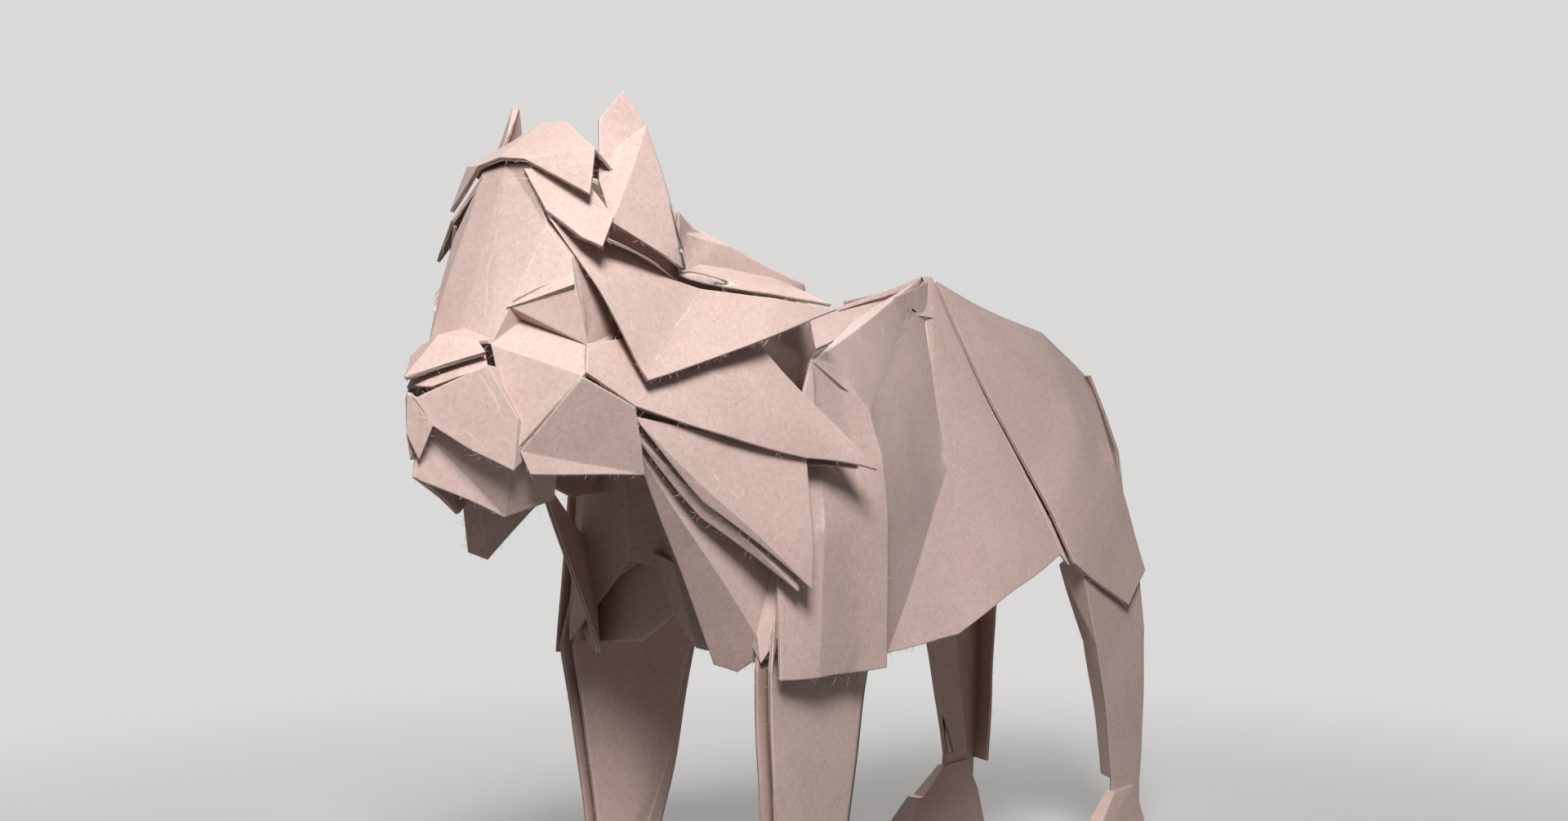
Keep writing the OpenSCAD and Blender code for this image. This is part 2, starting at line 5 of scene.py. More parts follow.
import bmesh
import bpy
import numpy as np
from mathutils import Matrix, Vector


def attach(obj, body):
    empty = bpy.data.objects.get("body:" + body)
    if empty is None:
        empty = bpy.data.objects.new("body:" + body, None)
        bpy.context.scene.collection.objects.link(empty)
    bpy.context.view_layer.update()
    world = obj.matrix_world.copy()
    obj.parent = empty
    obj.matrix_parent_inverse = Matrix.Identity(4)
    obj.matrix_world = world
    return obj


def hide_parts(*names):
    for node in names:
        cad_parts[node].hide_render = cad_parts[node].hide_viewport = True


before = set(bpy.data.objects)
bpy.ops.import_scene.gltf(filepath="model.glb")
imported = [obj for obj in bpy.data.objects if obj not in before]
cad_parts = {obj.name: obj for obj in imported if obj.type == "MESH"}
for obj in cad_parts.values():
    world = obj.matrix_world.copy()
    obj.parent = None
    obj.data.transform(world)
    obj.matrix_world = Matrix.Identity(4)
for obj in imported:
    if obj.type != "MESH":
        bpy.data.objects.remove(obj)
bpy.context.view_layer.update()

MM = 0.001
SEED = 7

# Mesh of the paper
WELD = 0.001 * MM
FLAT_ANGLE = math.radians(0.3)
FOLD_ANGLE = math.radians(17)
ROUND_PASSES = 30
ROUND_SHARE = 0.5
CELL = 2.4 * MM
CUT_PASSES = 9
OFF_RIM = 9.0
TINY = 1e-15

# Slow bends of the panels: depth and wavelength of each wave
BEND_WAVES = ((0.40 * MM, 44 * MM), (0.28 * MM, 27 * MM), (0.14 * MM, 15 * MM))
WAVES_PER_SIZE = 5
STILL_HEIGHT = 2 * MM
FREE_HEIGHT = 16 * MM

# Soft folds pressed into single panels, on both sides of the lion, in mm:
# where the fold starts and ends, which way the panel faces, how far it moves out, how far the fold reaches
SOFT_FOLDS = (
    ((15.5, -44.7, 89.3), (18.2, -55.6, 79.3), (0.88, -0.20, 0.44), -1.6, 10),
    ((17.0, -45.4, 78.9), (22.5, -23.6, 67.9), (0.95, -0.12, 0.26), 0.5, 6),
    ((17.0, -50.8, 71.4), (21.4, -35.2, 55.4), (0.98, -0.17, 0.10), 0.5, 6),
    ((10.4, 53.4, 70.3), (13.6, 40.1, 59.9), (0.94, -0.03, 0.34), 0.4, 6),
    ((16.1, -10.5, 74.3), (3.9, 15.4, 88.4), (0.92, 0.29, 0.26), -0.5, 8),
)
# Inner tabs that close the flank under the back's peak and the pleat above the hind leg, on both sides:
# four corners in mm, and which way the tab faces
TABS = (
    (((5.0, 9.1, 90.8), (5.8, 10.4, 86.0), (2.6, 20.9, 86.0), (0.6, 23.5, 93.6)), (0.92, 0.26, 0.30)),
    (((13.4, 38.2, 57.5), (14.3, 38.8, 51.6), (15.6, 42.0, 50.6), (13.8, 42.4, 57.5)), (0.94, -0.10, 0.30)),
)
TAB_THICKNESS = 0.25
# Crease marks without a bend, on both sides, in mm
CREASE_MARKS = (
    ((0.7, -63.8, 98.1), (2.8, -68.8, 83.6)),
    ((5.9, -71.4, 78.3), (7.6, -69.6, 73.1)),
    ((4.3, -72.8, 72.4), (8.0, -69.0, 67.9)),
    ((16.7, 62.1, 38.9), (16.8, 54.4, 31.6)),
)
CREASE_WIDTH = 0.22
PANEL_DEPTH = (0.6, 1.4)

# Fibres along the raw edges
RIM_WIDTH = (0.30 * MM, 0.64 * MM)
RIM_LENGTH = 1.5 * MM
FIBRES_PER_MM = 1.1
FIBRE_LENGTH = (0.3 * MM, 1.3 * MM)
FIBRE_RADIUS = 0.019 * MM
LONG_FIBRES = 0.05
LONG_FIBRE_TIMES = 2.6
FIBRE_JOINTS = 4
FIBRE_SIDES = 3
FIBRE_FLOOR = 4 * MM
FIBRE_LENGTH_SHARE = (0.4, 1)
FIBRE_LEAN = 0.9
FIBRE_STRAY = 0.25
FIBRE_CURL = 0.45
FIBRE_ROOT = 0.05 * MM
FIBRE_TAPER = 0.6
FIBRE_GIRTH = (0.6, 1.3)
FIBRE_CLUMPS = (0.3, 1.7)
TUBE_AXIS = (0.31, 0.57, 0.76)

# Textures of the paper: scales in waves per metre, spans of a noise, and shares of one
FOLD_SOFTNESS = 0.32 * MM
FOLD_SAMPLES = 4
# Pale along folds, partly wear and partly a painted highlight where a fold catches light
FOLD_WEAR_AND_HIGHLIGHT = (0.999, 0.96)
CLOUD_SCALE = 70
PULP_SCALE = 1700
GRAIN_SCALE = 4200
CLOUD_SHARE = 0.35
PULP_SHARE = 0.65
TONE_SPAN = (0.36, 0.64)
# Strands in the paper: scale, width and wander of the lines, then scale and span of the patches with lines
PALE_STRANDS = (420, 0.012, 1.4, 300, (0.48, 0.66))
DARK_STRANDS = (610, 0.010, 1.8, 260, (0.56, 0.70))
PALE_SHARE = 0.55
DARK_SHARE = 0.6
SPECK_SCALE = 1900
SPECK_SPAN = (0.70, 0.78)
SPECK_SHARE = 0.35
# Patches that break up the pale fold line of wear and painted highlight
RUB_AND_HIGHLIGHT_SCALE = 520
RUB_AND_HIGHLIGHT_SPAN = (0.30, 0.62, 0.30, 0.80)
WANDER_SCALE = 180
BREAK_SCALE = 240
BREAK_SPAN = (0.40, 0.60, 0.05, 0.45)
# Painted shade: a dark line along the middle of each raw edge, for the shaded gap between two layers
GAP_SHADE_SPAN = (0.20, 0.06)
GAP_SHADE_SHARE = 0.8
# Painted shade: ambient occlusion darkens creases, gaps and the undersides of flaps
PAINTED_SHADE_REACH = 5 * MM
PAINTED_SHADE_SAMPLES = 5
PAINTED_SHADE_SPAN = (0.75, 0.15, 0.0, 0.62)
TOOTH_PULP = 0.6
TOOTH_GRAIN = 0.4
STRAND_HEIGHT = 0.5
TOOTH_STRENGTH = 0.35
TOOTH_DEPTH = 0.10 * MM
RIPPLE_SCALE = 130
RIPPLE_STRENGTH = 0.5
RIPPLE_DEPTH = 0.35 * MM
PAPER_ROUGHNESS = (0.3, 0.7, 0.95, 0.78)
PAPER_SPECULAR = 0.25
PAPER_SHEEN = 0.08
FIBRE_ROUGHNESS = 0.8
FIBRE_SPECULAR = 0.2
FLOOR_ROUGHNESS = 0.9
FLOOR_CLOUD_SCALE = 3
FLOOR_CLOUD_SHARE = 0.06

# Backdrop in metres: its near edge, the wall, the curve between them, its height and half its width
BACKDROP_NEAR = -1.6
WALL_AT = 0.9
CURVE_RADIUS = 0.5
CURVE_STEPS = 24
WALL_TOP = 1.9
BACKDROP_WIDE = 2.6

# Camera of the photograph, in the part's frame
CAMERA_PLACE = (153 * MM, -196.4 * MM, 74 * MM)
CAMERA_TURN = math.radians(39.5)
FOCAL_PX = 2100
IMAGE_PX = 1920
SENSOR = 36
CLIP_START = 0.005


@dataclass
class Lamp:
    """A lamp: the point that it is aimed at, the way towards it, its distance, size and angle of spread,
    and the level that it gives a facing sheet at that point."""
    aim: Vector
    towards: Vector
    distance: float
    size: float
    spread: float
    level: float


LAMPS = {
    "key": Lamp(
        aim=Vector((0.015, -0.055, 0.080)), towards=Vector((0.50, -0.50, 0.70)),
        distance=0.36, size=0.12, spread=math.radians(70), level=1.70,
    ),
    "back": Lamp(
        aim=Vector((0, 0, 0.06)), towards=Vector((-0.55, 0.62, 0.56)),
        distance=0.9, size=0.5, spread=math.pi, level=0.75,
    ),
}
FILL_LEVEL = 0.10

# Distance from the lion's middle over which the floor turns into the far tone
FAR_FROM = 0.07
FAR_TO = 0.25

# Colours, linear
WHITE = (1, 1, 1, 1)
FILL_TONE = (0.985, 0.99, 1.0, 1)
PAPER_LIGHT = (0.750, 0.560, 0.508, 1)
PAPER_DARK = (0.655, 0.468, 0.412, 1)
FIBRE_PALE = (0.90, 0.78, 0.70, 1)
# Dark fibres and specks, and also the colour of the painted shade in recesses
FIBRE_DARK_AND_SHADE = (0.33, 0.20, 0.15, 1)
# Pale of rubbed creases, and partly a painted highlight along folds
CREASE_PALE_AND_HIGHLIGHT = (0.92, 0.78, 0.71, 1)
# Painted shade in the gap between the layers of a raw edge
GAP_SHADE_DARK = (0.20, 0.125, 0.095, 1)
FLOOR_TONE = (0.60, 0.595, 0.585, 1)
FLOOR_BOUNCE = (0.24, 0.235, 0.23, 1)
FAR_TONE = (0.70, 0.695, 0.685, 1)


def make_waves(rng):
    """Seeded sine waves, each a direction of travel, a direction of shift and a phase."""
    waves = []
    for depth, length in BEND_WAVES:
        for _ in range(WAVES_PER_SIZE):
            travel = rng.normal(size=3)
            travel *= 2 * math.pi / length / np.linalg.norm(travel)
            shift = rng.normal(size=3)
            shift *= depth / math.sqrt(WAVES_PER_SIZE) / np.linalg.norm(shift)
            waves.append((travel, shift, rng.uniform(0, 2 * math.pi)))
    return waves


def softly_folded(points):
    """The points moved by the soft folds, each only within its own panel."""
    moved = points.copy()
    for start, end, facing, out, reach in SOFT_FOLDS:
        for side in (1, -1):
            flip = np.array((side, 1, 1))
            a, b = np.array(start) * flip * MM, np.array(end) * flip * MM
            normal = np.array(facing) * flip
            share = np.clip((points - a) @ (b - a) / np.dot(b - a, b - a), 0, 1)
            away = np.linalg.norm(points - a - np.outer(share, b - a), axis=1) / MM
            deep = np.abs((points - a) @ normal) / MM
            held = np.clip((PANEL_DEPTH[1] - deep) / (PANEL_DEPTH[1] - PANEL_DEPTH[0]), 0, 1)
            moved += np.outer(np.clip(1 - away / reach, 0, 1) * held * out * MM, normal)
    return moved


def bent(points, waves):
    """The points with soft folds and slow waves, still near the floor so that the soles stay flat."""
    free = np.clip((points[:, 2] - STILL_HEIGHT) / (FREE_HEIGHT - STILL_HEIGHT), 0, 1)
    moved = softly_folded(points)
    for travel, shift, phase in waves:
        moved += np.outer(np.sin(points @ travel + phase) * free, shift)
    return moved


@dataclass
class Rim:
    """One raw edge of the sheet: its triangles, its way out and along, and where it lies across."""
    triangles: list
    out: np.ndarray
    along: np.ndarray
    over: np.ndarray
    middle: float
    width: float
    length: float


def panels_of(node):
    """The node's mesh welded, with each flat area given its own panel number."""
    bm = bmesh.new()
    bm.from_mesh(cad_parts[node].data)
    bmesh.ops.remove_doubles(bm, verts=bm.verts[:], dist=WELD)
    panel = bm.faces.layers.int.new("panel")
    groups = []
    for first in bm.faces:
        if first[panel]:
            continue
        first[panel] = len(groups) + 1
        group = [first]
        for face in group:
            for edge in face.edges:
                if len(edge.link_faces) != 2 or edge.calc_face_angle(0) > FLAT_ANGLE:
                    continue
                for other in edge.link_faces:
                    if not other[panel]:
                        other[panel] = first[panel]
                        group.append(other)
        groups.append(group)
    return bm, groups


def raw_edges_of(groups):
    """The narrow panels, which are the raw edges of the sheet, by panel number."""
    rims = {}
    for number, group in enumerate(groups, start=1):
        longest = max((e for f in group for e in f.edges), key=lambda e: e.calc_length())
        along = np.array(longest.verts[1].co - longest.verts[0].co)
        along /= np.linalg.norm(along)
        out = np.array(max(group, key=lambda f: f.calc_area()).normal)
        over = np.cross(out, along)
        triangles = [np.array([v.co for v in f.verts]) for f in group]
        corners = np.vstack(triangles)
        across = corners @ over
        length = np.ptp(corners @ along)
        if RIM_WIDTH[0] < np.ptp(across) < RIM_WIDTH[1] and length > RIM_LENGTH:
            middle = (across.min() + across.max()) / 2
            rims[number] = Rim(triangles, out, along, over, middle, np.ptp(across), length)
    return rims


def triangles_of(bm):
    """Corner points of the panels, and triangles with the number of their panel as a fourth column."""
    bm.verts.index_update()
    points = np.array([v.co for v in bm.verts], float)
    panel = bm.faces.layers.int["panel"]
    triangles = np.array([[v.index for v in f.verts] + [f[panel]] for f in bm.faces], int)
    return points, triangles


def with_tabs(points, triangles):
    """The sheet's points and triangles with the thin inner tabs of both sides."""
    for corners, facing in TABS:
        for side in (1, -1):
            flip = np.array((side, 1, 1))
            outer = np.array(corners) * flip * MM
            ring = list(range(4)) if side == 1 else [3, 2, 1, 0]
            inner = outer - np.array(facing) * flip * TAB_THICKNESS * MM
            first = len(points)
            a, b, c, d = (first + k for k in ring)
            plate = [(a, b, c), (a, c, d), (c + 4, b + 4, a + 4), (d + 4, c + 4, a + 4)]
            for j, k in ((a, b), (b, c), (c, d), (d, a)):
                plate += [(j, j + 4, k + 4), (j, k + 4, k)]
            points = np.vstack([points, outer, inner])
            triangles = np.vstack([triangles, [(*t, 0) for t in plate]])
    return points, triangles


def halved(points, triangles):
    """One pass of cutting: each edge longer than a cell gets a corner at its middle."""
    corners = triangles[:, :3]
    sides = np.stack([corners, np.roll(corners, -1, axis=1)], axis=2)
    edges, which = np.unique(np.sort(sides.reshape(-1, 2), axis=1), axis=0, return_inverse=True)
    length = np.linalg.norm(points[edges[:, 0]] - points[edges[:, 1]], axis=1)
    cut = length > CELL
    middle = np.full(len(edges), -1)
    middle[cut] = len(points) + np.arange(cut.sum())
    points = np.vstack([points, points[edges[cut]].mean(axis=1)])
    result = []
    for (*ends, panel), mids in zip(triangles.tolist(), middle[which.reshape(-1, 3)].tolist()):
        count = sum(m >= 0 for m in mids)
        turn = 0 if count in (0, 3) else next(k for k in range(3) if (mids[k] >= 0) == (count == 1))
        a, b, c = ends[turn:] + ends[:turn]
        ab, bc, ca = mids[turn:] + mids[:turn]
        if count == 0:
            made = [(a, b, c)]
        elif count == 1:
            made = [(a, ab, c), (ab, b, c)]
        elif count == 2:
            made = [(c, ca, bc), (ca, a, bc), (a, b, bc)]
        else:
            made = [(a, ab, ca), (ab, b, bc), (ca, bc, c), (ab, bc, ca)]
        result += [(*triangle, panel) for triangle in made]
    return points, np.array(result), int(cut.sum())


def refined(points, triangles):
    """Cuts long edges, pass by pass, until the cells are small enough to bend."""
    for _ in range(CUT_PASSES):
        points, triangles, cuts = halved(points, triangles)
        if not cuts:
            break
    return points, triangles


def rounded(points, triangles):
    """Shallow folds eased into curves: points off the sharp folds move towards their neighbours."""
    corners = triangles[:, :3]
    a, b, c = (points[corners[:, k]] for k in range(3))
    normals = np.cross(b - a, c - a)
    outward = np.zeros_like(points)
    for k in range(3):
        np.add.at(outward, corners[:, k], normals)
    outward /= np.maximum(np.linalg.norm(outward, axis=1, keepdims=True), TINY)
    normals /= np.maximum(np.linalg.norm(normals, axis=1, keepdims=True), TINY)
    sides = np.sort(np.stack([corners, np.roll(corners, -1, axis=1)], axis=2).reshape(-1, 2), axis=1)
    edges, which = np.unique(sides, axis=0, return_inverse=True)
    order = np.argsort(which.ravel(), kind="stable") // 3
    first, second = order[0::2], order[1::2]
    sharp = (normals[first] * normals[second]).sum(axis=1) < math.cos(FOLD_ANGLE)
    free = np.ones(len(points))
    free[edges[sharp].ravel()] = 0
    count = np.bincount(edges.ravel(), minlength=len(points))[:, None]
    moved = points.copy()
    for _ in range(ROUND_PASSES):
        total = np.zeros_like(points)
        np.add.at(total, edges[:, 0], moved[edges[:, 1]])
        np.add.at(total, edges[:, 1], moved[edges[:, 0]])
        pull = ((total / count - moved) * outward).sum(axis=1) * free * ROUND_SHARE
        moved += outward * pull[:, None]
    return moved


def across_rims(flat, triangles, rims):
    """How far each triangle corner lies from the middle of its rim, as a share of the rim's width."""
    across = np.full((len(triangles), 3), OFF_RIM)
    for k, (a, b, c, panel) in enumerate(triangles.tolist()):
        if panel in rims:
            rim = rims[panel]
            across[k] = (flat[[a, b, c]] @ rim.over - rim.middle) / rim.width
    return across


def make_paper(bm, rims, waves, material):
    """The sheet itself: the refined panels, bent, with their flat place kept for the textures."""
    flat, triangles = refined(*with_tabs(*triangles_of(bm)))
    bm.free()
    mesh = bpy.data.meshes.new("lion_paper")
    mesh.from_pydata(flat.tolist(), [], triangles[:, :3].tolist())
    mesh.set_sharp_from_angle(angle=FOLD_ANGLE)
    place = mesh.attributes.new("place", "FLOAT_VECTOR", "POINT")
    place.data.foreach_set("vector", flat.astype(np.float32).ravel())
    across = mesh.attributes.new("across", "FLOAT", "CORNER")
    across.data.foreach_set("value", across_rims(flat, triangles, rims).astype(np.float32).ravel())
    moved = bent(rounded(flat, triangles), waves)
    mesh.vertices.foreach_set("co", moved.astype(np.float32).ravel())
    mesh.update()
    piece = bpy.data.objects.new("lion_paper", mesh)
    bpy.context.scene.collection.objects.link(piece)
    mesh.materials.append(material)
    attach(piece, "root")
    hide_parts("lion")


def fibre(rim, rng):
    """Points of one loose fibre that leaves the raw edge and curls."""
    areas = [np.linalg.norm(np.cross(t[1] - t[0], t[2] - t[0])) for t in rim.triangles]
    triangle = rim.triangles[rng.choice(len(areas), p=np.array(areas) / sum(areas))]
    share = rng.dirichlet((1, 1, 1))
    length = rng.uniform(*FIBRE_LENGTH) * rng.uniform(*FIBRE_LENGTH_SHARE)
    length *= LONG_FIBRE_TIMES if rng.uniform() < LONG_FIBRES else 1
    heading = rim.out + rim.along * rng.normal(0, FIBRE_LEAN) + rng.normal(0, FIBRE_STRAY, 3)
    heading /= np.linalg.norm(heading)
    curl = rng.normal(0, FIBRE_CURL, 3)
    points = [share @ triangle - rim.out * FIBRE_ROOT]
    for _ in range(FIBRE_JOINTS - 1):
        points.append(points[-1] + heading * length / (FIBRE_JOINTS - 1))
        heading = heading + curl
        heading /= np.linalg.norm(heading)
    return np.array(points)


def tube(points, radius, first):
    """Corners and faces of a thin tube along the points, tapered towards its end."""
    heading = points[-1] - points[0]
    side = np.cross(heading, TUBE_AXIS)
    side /= np.linalg.norm(side)
    up = np.cross(heading, side)
    up /= np.linalg.norm(up)
    corners = []
    faces = []
    for k, point in enumerate(points):
        size = radius * (1 - FIBRE_TAPER * k / (len(points) - 1))
        for s in range(FIBRE_SIDES):
            turn = 2 * math.pi * s / FIBRE_SIDES
            corners.append(point + size * (math.cos(turn) * side + math.sin(turn) * up))
    for k in range(len(points) - 1):
        for s in range(FIBRE_SIDES):
            a = first + k * FIBRE_SIDES + s
            b = first + k * FIBRE_SIDES + (s + 1) % FIBRE_SIDES
            faces.append((a, b, b + FIBRE_SIDES, a + FIBRE_SIDES))
    return corners, faces


def make_fibres(rims, waves, rng, material):
    """Loose fibres along the raw edges, in uneven clumps."""
    corners = []
    faces = []
    for rim in rims.values():
        expected = rim.length / MM * FIBRES_PER_MM * rng.uniform(*FIBRE_CLUMPS)
        for _ in range(rng.poisson(expected)):
            points = fibre(rim, rng)
            if points[:, 2].min() < FIBRE_FLOOR:
                continue
            radius = FIBRE_RADIUS * rng.uniform(*FIBRE_GIRTH)
            more_corners, more_faces = tube(bent(points, waves), radius, len(corners))
            corners += more_corners
            faces += more_faces
    mesh = bpy.data.meshes.new("edge_fibres")
    mesh.from_pydata([tuple(c) for c in corners], [], faces)
    mesh.update()
    piece = bpy.data.objects.new("edge_fibres", mesh)
    bpy.context.scene.collection.objects.link(piece)
    mesh.materials.append(material)
    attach(piece, "root")


class Nodes:
    """Short ways to add and link the shader nodes of one material."""

    def __init__(self, name):
        self.material = bpy.data.materials.new(name)
        self.material.use_nodes = True
        self.tree = self.material.node_tree
        self.shader = self.tree.nodes["Principled BSDF"]

    def put(self, socket, value):
        if isinstance(value, bpy.types.NodeSocket):
            self.tree.links.new(value, socket)
        else:
            socket.default_value = value

    def add(self, kind, settings=None, **inputs):
        node = self.tree.nodes.new(kind)
        for key, value in (settings or {}).items():
            setattr(node, key, value)
        for key, value in inputs.items():
            self.put(node.inputs[key.replace("_", " ")], value)
        return node

    def math(self, operation, a, b=0.0):
        node = self.tree.nodes.new("ShaderNodeMath")
        node.operation = operation
        self.put(node.inputs[0], a)
        self.put(node.inputs[1], b)
        return node.outputs[0]

    def span(self, value, low, high, to_low=0.0, to_high=1.0):
        node = self.tree.nodes.new("ShaderNodeMapRange")
        node.interpolation_type = "SMOOTHSTEP"
        for key, x in zip(("Value", "From Min", "From Max", "To Min", "To Max"),
                          (value, low, high, to_low, to_high)):
            self.put(node.inputs[key], x)
        return node.outputs[0]

    def mix(self, factor, a, b):
        node = self.tree.nodes.new("ShaderNodeMix")
        node.data_type = "RGBA"
        for index, x in ((0, factor), (6, a), (7, b)):
            self.put(node.inputs[index], x)
        return node.outputs[2]

    def noise(self, place, scale, detail=3.0, roughness=0.55, distortion=0.0):
        node = self.add("ShaderNodeTexNoise", Vector=place, Scale=scale, Detail=detail,
                        Roughness=roughness, Distortion=distortion)
        return node.outputs[0]

    def near_line(self, place, start, end, width):
        """One on the straight line between two points, in mm, and zero a width away from it."""
        a, b = Vector(start), Vector(end)
        from_a = self.vector("SUBTRACT", place, a)
        share = self.vector("DOT_PRODUCT", from_a, (b - a) / (b - a).length_squared)
        share = self.math("MINIMUM", self.math("MAXIMUM", share, 0.0), 1.0)
        along = self.tree.nodes.new("ShaderNodeVectorMath")
        along.operation = "SCALE"
        self.put(along.inputs[0], b - a)
        self.put(along.inputs["Scale"], share)
        gap = self.vector("DISTANCE", from_a, along.outputs[0])
        return self.span(gap, width, 0.3 * width)

    def vector(self, operation, a, b):
        node = self.tree.nodes.new("ShaderNodeVectorMath")
        node.operation = operation
        self.put(node.inputs[0], a)
        self.put(node.inputs[1], b)
        return node.outputs["Value" if operation in ("DOT_PRODUCT", "DISTANCE") else "Vector"]

    def strands(self, place, scale, width, distortion):
        """Thin wandering lines where a noise crosses its middle value."""
        wave = self.noise(place, scale, 1.0, 0.4, distortion)
        gap = self.math("ABSOLUTE", self.math("SUBTRACT", wave, 0.5))
        return self.span(gap, width, 0.0)


def strand_patches(n, place, scale, width, wander, patch_scale, patch_span):
    """Thin lines that show only in patches."""
    lines = n.strands(place, scale, width, wander)
    return n.math("MULTIPLY", lines, n.span(n.noise(place, patch_scale, 2.0), *patch_span))


def crease_lines(n, place):
    """The soft folds and crease marks as thin, slightly wandering lines on both sides of the lion."""
    one_side = n.add("ShaderNodeSeparateXYZ", Vector=n.vector("ABSOLUTE", place, (0, 0, 0)))
    plain = n.add("ShaderNodeSeparateXYZ", Vector=place)
    folded = n.add("ShaderNodeCombineXYZ", X=one_side.outputs[0], Y=plain.outputs[1], Z=plain.outputs[2])
    in_mm = n.vector("MULTIPLY", folded.outputs[0], (1 / MM, 1 / MM, 1 / MM))
    noise = n.add("ShaderNodeTexNoise", Vector=place, Scale=WANDER_SCALE).outputs["Color"]
    wander = n.vector("MULTIPLY", noise, (2, 2, 2))
    in_mm = n.vector("SUBTRACT", n.vector("ADD", in_mm, wander), (1, 1, 1))
    creases = 0.0
    for start, end, *_ in SOFT_FOLDS + CREASE_MARKS:
        creases = n.math("MAXIMUM", n.near_line(in_mm, start, end, CREASE_WIDTH), creases)
    return creases


def pulp_colour(n, place, pulp, pale, dark):
    """Colour of the bare sheet: mottled pulp with pale and dark strands and specks."""
    clouds = n.noise(place, CLOUD_SCALE, 4.0, 0.6)
    tone = n.math("ADD", n.math("MULTIPLY", clouds, CLOUD_SHARE), n.math("MULTIPLY", pulp, PULP_SHARE))
    colour = n.mix(n.span(tone, *TONE_SPAN), PAPER_DARK, PAPER_LIGHT)
    colour = n.mix(n.math("MULTIPLY", pale, PALE_SHARE), colour, FIBRE_PALE)
    colour = n.mix(n.math("MULTIPLY", dark, DARK_SHARE), colour, FIBRE_DARK_AND_SHADE)
    specks = n.span(n.noise(place, SPECK_SCALE, 1.0, 0.5), *SPECK_SPAN)
    return n.mix(n.math("MULTIPLY", specks, SPECK_SHARE), colour, FIBRE_DARK_AND_SHADE)


def worn_and_painted_light_colour(n, place, colour, soft):
    """The sheet's colour: rubbed creases, a pale line on folds that is partly wear and partly painted
    highlight, painted shade along the middle of raw edges, and painted shade in recesses.
    """
    facing = n.add("ShaderNodeNewGeometry").outputs["Normal"]
    # Pale along folds: partly wear, partly a painted highlight where a fold catches light
    fold_wear_and_highlight = n.span(n.vector("DOT_PRODUCT", soft, facing), *FOLD_WEAR_AND_HIGHLIGHT)
    rubbed_and_highlit = n.math("MULTIPLY", fold_wear_and_highlight, n.span(n.noise(place, RUB_AND_HIGHLIGHT_SCALE, 3.0), *RUB_AND_HIGHLIGHT_SPAN))
    broken = n.span(n.noise(place, BREAK_SCALE, 2.0), *BREAK_SPAN)
    rubbed_and_highlit = n.math("MAXIMUM", rubbed_and_highlit, n.math("MULTIPLY", crease_lines(n, place), broken))
    colour = n.mix(rubbed_and_highlit, colour, CREASE_PALE_AND_HIGHLIGHT)
    across = n.add("ShaderNodeAttribute", {"attribute_name": "across"}).outputs["Fac"]
    # Painted shade: a dark line along the middle of each raw edge, for the shaded gap between the two layers
    gap_shade = n.span(n.math("ABSOLUTE", across), *GAP_SHADE_SPAN)
    colour = n.mix(n.math("MULTIPLY", gap_shade, GAP_SHADE_SHARE), colour, GAP_SHADE_DARK)
    # Painted shade: recesses, gaps and the undersides of flaps darkened by ambient occlusion
    inner = n.add("ShaderNodeAmbientOcclusion", {"samples": PAINTED_SHADE_SAMPLES}, Distance=PAINTED_SHADE_REACH)
    return n.mix(n.span(inner.outputs["AO"], *PAINTED_SHADE_SPAN), colour, FIBRE_DARK_AND_SHADE)


def paper_normal(n, place, pulp, strands, soft):
    """The softened normal with the fine tooth of the pulp and slow ripples."""
    grain = n.noise(place, GRAIN_SCALE, 2.0, 0.6)
    tooth = n.math("ADD", n.math("MULTIPLY", pulp, TOOTH_PULP), n.math("MULTIPLY", grain, TOOTH_GRAIN))
    height = n.math("ADD", tooth, n.math("MULTIPLY", strands, STRAND_HEIGHT))
    fine = n.add("ShaderNodeBump", Strength=TOOTH_STRENGTH, Distance=TOOTH_DEPTH, Height=height, Normal=soft)
    ripples = n.noise(place, RIPPLE_SCALE, 3.0, 0.5, 0.4)
    slow = n.add("ShaderNodeBump", Strength=RIPPLE_STRENGTH, Distance=RIPPLE_DEPTH, Height=ripples,
                 Normal=fine.outputs[0])
    return slow.outputs[0]


def paper_material():
    """Kraft paper: mottled pulp, pale and dark fibres, rubbed folds with a painted highlight, raw edges with
    a painted shade line, painted shade in recesses, fine tooth.
    """
    n = Nodes("kraft_paper")
    place = n.add("ShaderNodeAttribute", {"attribute_name": "place"}).outputs["Vector"]
    soft = n.add("ShaderNodeBevel", {"samples": FOLD_SAMPLES}, Radius=FOLD_SOFTNESS).outputs[0]
    pulp = n.noise(place, PULP_SCALE, 4.0, 0.65, 0.5)
    pale = strand_patches(n, place, *PALE_STRANDS)
    dark = strand_patches(n, place, *DARK_STRANDS)
    colour = worn_and_painted_light_colour(n, place, pulp_colour(n, place, pulp, pale, dark), soft)
    n.put(n.shader.inputs["Base Color"], colour)
    n.put(n.shader.inputs["Normal"], paper_normal(n, place, pulp, n.math("ADD", pale, dark), soft))
    n.put(n.shader.inputs["Roughness"], n.span(pulp, *PAPER_ROUGHNESS))
    n.shader.inputs["Specular IOR Level"].default_value = PAPER_SPECULAR
    n.shader.inputs["Sheen Weight"].default_value = PAPER_SHEEN
    return n.material


def fibre_material():
    """Loose paper fibres, paler than the sheet, with a little change from fibre to fibre."""
    n = Nodes("paper_fibres")
    island = n.add("ShaderNodeNewGeometry").outputs["Random Per Island"]
    n.put(n.shader.inputs["Base Color"], n.mix(island, PAPER_LIGHT, FIBRE_PALE))
    n.shader.inputs["Roughness"].default_value = FIBRE_ROUGHNESS
    n.shader.inputs["Specular IOR Level"].default_value = FIBRE_SPECULAR
    return n.material


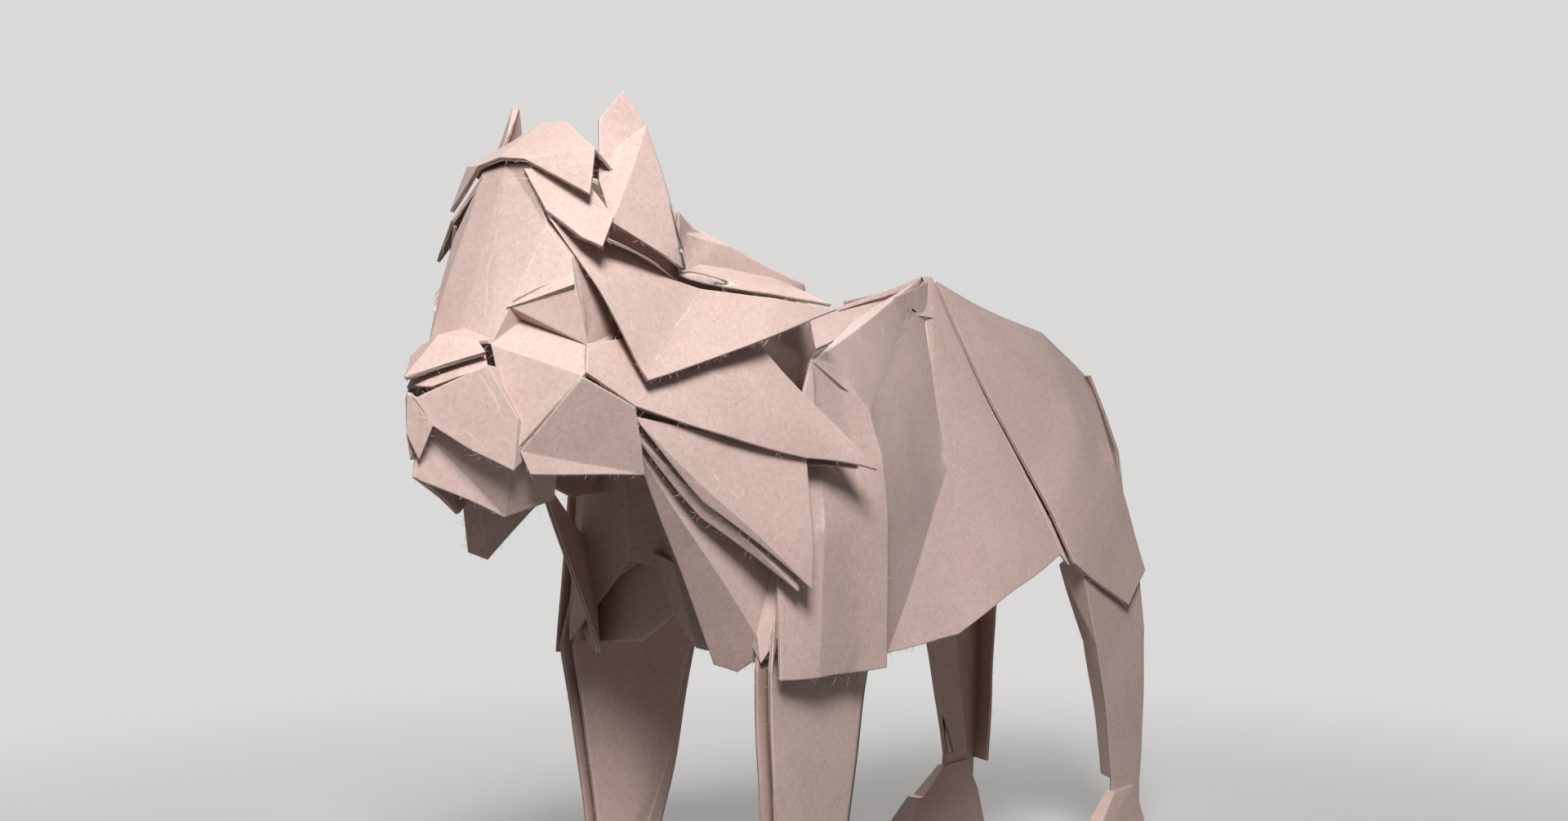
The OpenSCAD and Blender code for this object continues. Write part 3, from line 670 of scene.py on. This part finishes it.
def floor_material():
    """Plain pale matt backdrop that takes the shadow near the lion and is evenly pale far from it."""
    n = Nodes("backdrop")
    place = n.add("ShaderNodeTexCoord").outputs["Object"]
    cloud = n.noise(place, FLOOR_CLOUD_SCALE, 2.0)
    pale = n.mix(n.math("MULTIPLY", cloud, FLOOR_CLOUD_SHARE), FLOOR_TONE, WHITE)
    light = n.add("ShaderNodeLightPath").outputs
    seen = n.math("ADD", light["Is Camera Ray"], light["Is Glossy Ray"])
    seen = n.math("MINIMUM", n.math("ADD", seen, light["Is Transmission Ray"]), 1.0)
    n.put(n.shader.inputs["Base Color"], n.mix(seen, FLOOR_BOUNCE, pale))
    n.shader.inputs["Roughness"].default_value = FLOOR_ROUGHNESS
    n.shader.inputs["Specular IOR Level"].default_value = 0.0
    far = n.span(n.vector("DISTANCE", place, (0, 0, 0)), FAR_FROM, FAR_TO)
    glow = n.add("ShaderNodeEmission", Color=FAR_TONE).outputs[0]
    blend = n.tree.nodes.new("ShaderNodeMixShader")
    n.put(blend.inputs[0], n.math("MULTIPLY", far, seen))
    n.put(blend.inputs[1], n.shader.outputs[0])
    n.put(blend.inputs[2], glow)
    n.put(n.tree.nodes["Material Output"].inputs["Surface"], blend.outputs[0])
    return n.material


def make_backdrop():
    """A floor that curves up into a wall behind the lion, seen from the camera."""
    curve_at = WALL_AT - CURVE_RADIUS
    profile = [(BACKDROP_NEAR, 0.0), (curve_at, 0.0)]
    for k in range(1, CURVE_STEPS + 1):
        turn = math.pi / 2 * k / CURVE_STEPS
        rise = CURVE_RADIUS - CURVE_RADIUS * math.cos(turn)
        profile.append((curve_at + CURVE_RADIUS * math.sin(turn), rise))
    profile.append((WALL_AT, WALL_TOP))
    corners = [(side * BACKDROP_WIDE, y, z) for y, z in profile for side in (-1, 1)]
    faces = [(2 * k, 2 * k + 1, 2 * k + 3, 2 * k + 2) for k in range(len(profile) - 1)]
    mesh = bpy.data.meshes.new("backdrop")
    mesh.from_pydata(corners, [], faces)
    for face in mesh.polygons:
        face.use_smooth = True
    piece = bpy.data.objects.new("backdrop", mesh)
    piece.rotation_euler = (0, 0, CAMERA_TURN)
    bpy.context.scene.collection.objects.link(piece)
    mesh.materials.append(floor_material())


def make_camera():
    """The photograph's camera, level and turned towards the lion."""
    camera = bpy.data.objects.new("camera", bpy.data.cameras.new("camera"))
    camera.data.sensor_width = SENSOR
    camera.data.lens = FOCAL_PX * SENSOR / IMAGE_PX
    camera.data.clip_start = CLIP_START
    camera.location = CAMERA_PLACE
    camera.rotation_euler = (math.pi / 2, 0, CAMERA_TURN)
    bpy.context.scene.collection.objects.link(camera)
    bpy.context.scene.camera = camera


def make_lights():
    """A soft key lamp before and above the head, a wide lamp behind, and an even fill from all round."""
    for name, lamp in LAMPS.items():
        light = bpy.data.lights.new(name, "AREA")
        light.size = lamp.size
        light.spread = lamp.spread
        narrowing = 1 - lamp.spread / 2 / math.tan(lamp.spread / 2)
        light.energy = lamp.level * math.pi ** 2 * lamp.distance ** 2 * narrowing
        piece = bpy.data.objects.new(name, light)
        piece.location = lamp.aim + lamp.towards.normalized() * lamp.distance
        piece.rotation_euler = lamp.towards.to_track_quat("Z", "Y").to_euler()
        piece.visible_camera = False
        bpy.context.scene.collection.objects.link(piece)
    make_world()


def make_world():
    """An even fill light, with the far tone where the camera looks past the backdrop."""
    world = bpy.data.worlds.new("studio")
    world.use_nodes = True
    tree = world.node_tree
    fill = tree.nodes["Background"]
    fill.inputs["Color"].default_value = FILL_TONE
    fill.inputs["Strength"].default_value = FILL_LEVEL
    far = tree.nodes.new("ShaderNodeBackground")
    far.inputs["Color"].default_value = FAR_TONE
    blend = tree.nodes.new("ShaderNodeMixShader")
    tree.links.new(tree.nodes.new("ShaderNodeLightPath").outputs["Is Camera Ray"], blend.inputs[0])
    tree.links.new(fill.outputs[0], blend.inputs[1])
    tree.links.new(far.outputs[0], blend.inputs[2])
    tree.links.new(blend.outputs[0], tree.nodes["World Output"].inputs["Surface"])
    bpy.context.scene.world = world


rng = np.random.default_rng(SEED)
waves = make_waves(rng)
panels, flat_areas = panels_of("lion")
raw_edges = raw_edges_of(flat_areas)
make_paper(panels, raw_edges, waves, paper_material())
make_fibres(raw_edges, waves, rng, fibre_material())
make_backdrop()
make_camera()
make_lights()
bpy.context.scene.view_settings.view_transform = "Standard"
